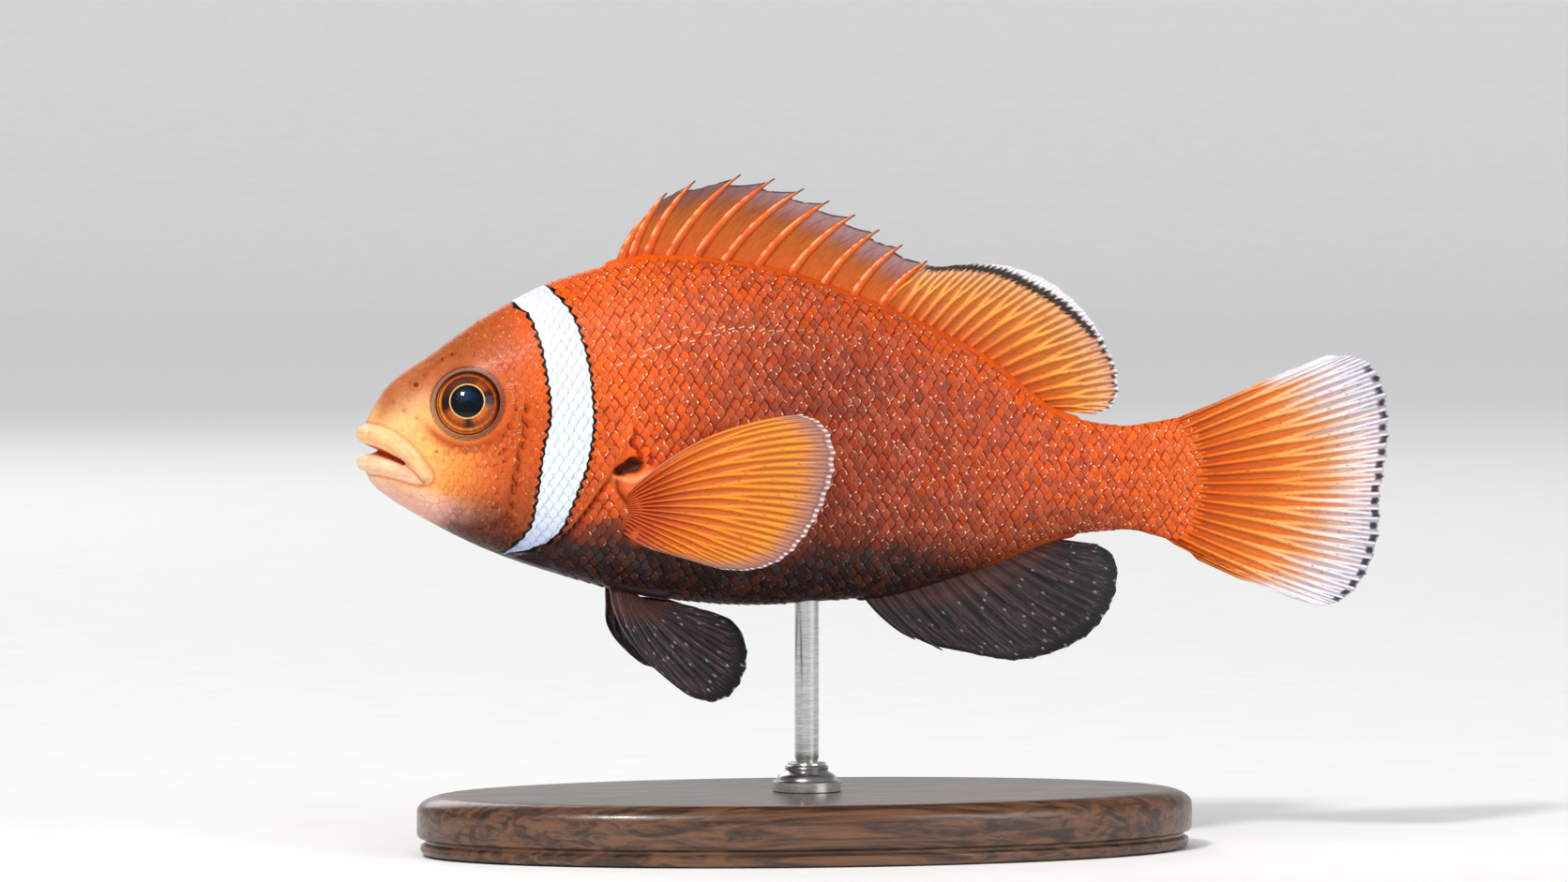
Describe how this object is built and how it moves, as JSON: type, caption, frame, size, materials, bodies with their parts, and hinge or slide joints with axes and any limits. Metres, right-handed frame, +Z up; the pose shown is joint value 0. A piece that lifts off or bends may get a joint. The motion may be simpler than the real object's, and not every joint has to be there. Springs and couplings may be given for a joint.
{
  "type": "maldives clownfish",
  "caption": "Life-size Maldives clownfish, orange with a white head bar and black belly fins, swimming level on a rod over an oval wooden base.",
  "frame": {"origin": "on the table under the middle of the model's length, at the stand's underside", "axes": "+X towards the tail, +Y towards the fish's right side, +Z up"},
  "size_m": [0.105, 0.041, 0.0673],
  "materials": {
    "orange_skin": "moist scaled skin, satin to glossy",
    "pale_lip": "smooth moist lips",
    "amber_fin": "thin translucent webs on stiff rays",
    "black_fin": "thin black webs on stiff rays",
    "dark_eye": "wet and clear",
    "dark_wood": "oiled walnut, satin",
    "brushed_rod": "brushed, satin"
  },
  "bodies": {
    "root": {"head": "orange_skin", "lower_jaw": "orange_skin", "gill_cover_left": "orange_skin", "gill_cover_right": "orange_skin", "trunk": "orange_skin", "tail_stalk": "orange_skin", "upper_lip": "pale_lip", "dorsal_fin_spiny": "amber_fin", "dorsal_fin_soft": "amber_fin", "caudal_fin": "amber_fin", "pectoral_fin_left": "amber_fin", "pectoral_fin_right": "amber_fin", "anal_fin": "black_fin", "pelvic_fin_left": "black_fin", "pelvic_fin_right": "black_fin", "eye_left": "dark_eye", "eye_right": "dark_eye", "stand_base": "dark_wood", "stand_rod": "brushed_rod", "stand_ferrule": "brushed_rod"}
  },
  "joints": []
}
